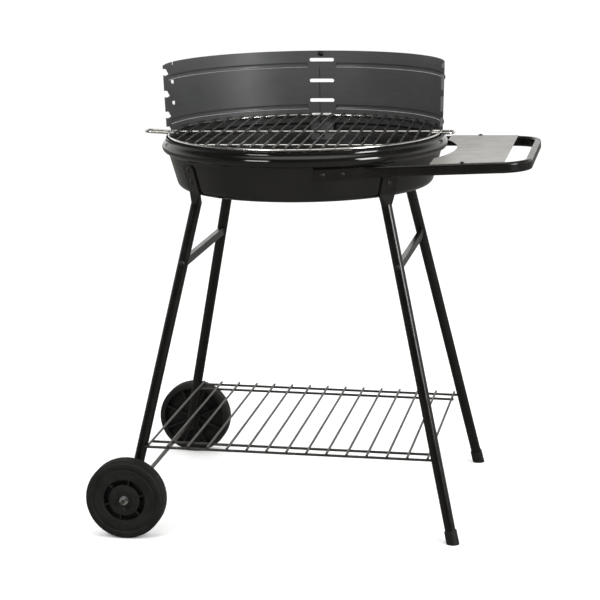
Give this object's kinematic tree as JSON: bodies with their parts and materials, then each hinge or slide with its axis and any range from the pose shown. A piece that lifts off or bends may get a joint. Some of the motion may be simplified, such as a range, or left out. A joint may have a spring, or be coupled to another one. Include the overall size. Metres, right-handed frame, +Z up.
{
  "type": "charcoal barbecue",
  "caption": "Round open-bowl charcoal barbecue on a tubular trolley with a curved wind-shield, wire cooking grid, wire shelf, side table with hand grip and wheels at one end.",
  "frame": {"origin": "ground level, at the middle of the footprint between the wheels' outer edge and the outer side of the hand grip", "axes": "+Z up; +X from the wheels towards the side table and its hand grip; -Y is the open front, +Y the side with the wind-shield"},
  "size_m": [0.8195, 0.652, 0.858],
  "materials": {
    "enamel": "glossy black enamel",
    "shield": "satin dark grey heat-resistant paint",
    "chromed_wire": "bright chromed wire",
    "grate_steel": "dull grey steel wire",
    "tube_paint": "semi-gloss black paint",
    "shelf_wire": "semi-gloss dark grey-brown paint",
    "table_sheet": "satin warm grey paint",
    "wheel_plastic": "matt black moulded plastic",
    "cap_plastic": "black moulded plastic",
    "zinc": "zinc plated steel",
    "axle_steel": "plain steel rod",
    "black_screw": "blackened steel screw"
  },
  "bodies": {
    "trolley": {"bowl": "enamel", "windshield_left_panel": "shield", "windshield_right_panel": "shield", "windshield_bolts": "black_screw", "windshield_nuts": "zinc", "leg_front_left": "tube_paint", "leg_back_left": "tube_paint", "leg_front_right": "tube_paint", "leg_back_right": "tube_paint", "leg_bolts": "black_screw", "leg_nuts": "zinc", "brace_left": "tube_paint", "brace_right": "tube_paint", "brace_bolts": "black_screw", "brace_nuts": "zinc", "shelf_long_wires": "shelf_wire", "shelf_cross_wires": "shelf_wire", "axle": "axle_steel", "axle_spacers": "cap_plastic", "axle_washers": "zinc", "axle_nuts": "zinc", "foot_cap_front": "cap_plastic", "foot_cap_back": "cap_plastic", "side_frame": "tube_paint", "side_table_sheet": "table_sheet", "table_screws": "black_screw", "frame_bolts": "black_screw", "frame_nuts": "zinc"},
    "cooking_grid": {"grid_rim": "chromed_wire", "grid_support_bars": "chromed_wire", "grid_cross_wires": "chromed_wire", "grid_handle_left": "chromed_wire", "grid_handle_right": "chromed_wire", "grid_rear_hook": "chromed_wire"},
    "charcoal_grate": {"charcoal_grate_rim": "grate_steel", "charcoal_grate_wires": "grate_steel", "charcoal_grate_feet": "grate_steel"},
    "front_wheel": {"wheel_front": "wheel_plastic"},
    "back_wheel": {"wheel_back": "wheel_plastic"}
  },
  "joints": [
    {"name": "front_wheel_spin", "type": "hinge", "parent": "trolley", "child": "front_wheel", "pos_m": [-0.33471, -0.293, 0.075], "axis": [0, 1, 0], "continuous": true},
    {"name": "back_wheel_spin", "type": "hinge", "parent": "trolley", "child": "back_wheel", "pos_m": [-0.33471, 0.293, 0.075], "axis": [0, 1, 0], "continuous": true},
    {"name": "cooking_grid_draw", "type": "slide", "parent": "trolley", "child": "cooking_grid", "axis": [0.0349, -0.9994, 0], "range_m": [0, 0.06]},
    {"name": "charcoal_grate_lift", "type": "slide", "parent": "trolley", "child": "charcoal_grate", "axis": [0, 0, 1], "range_m": [0, 0.05]}
  ]
}
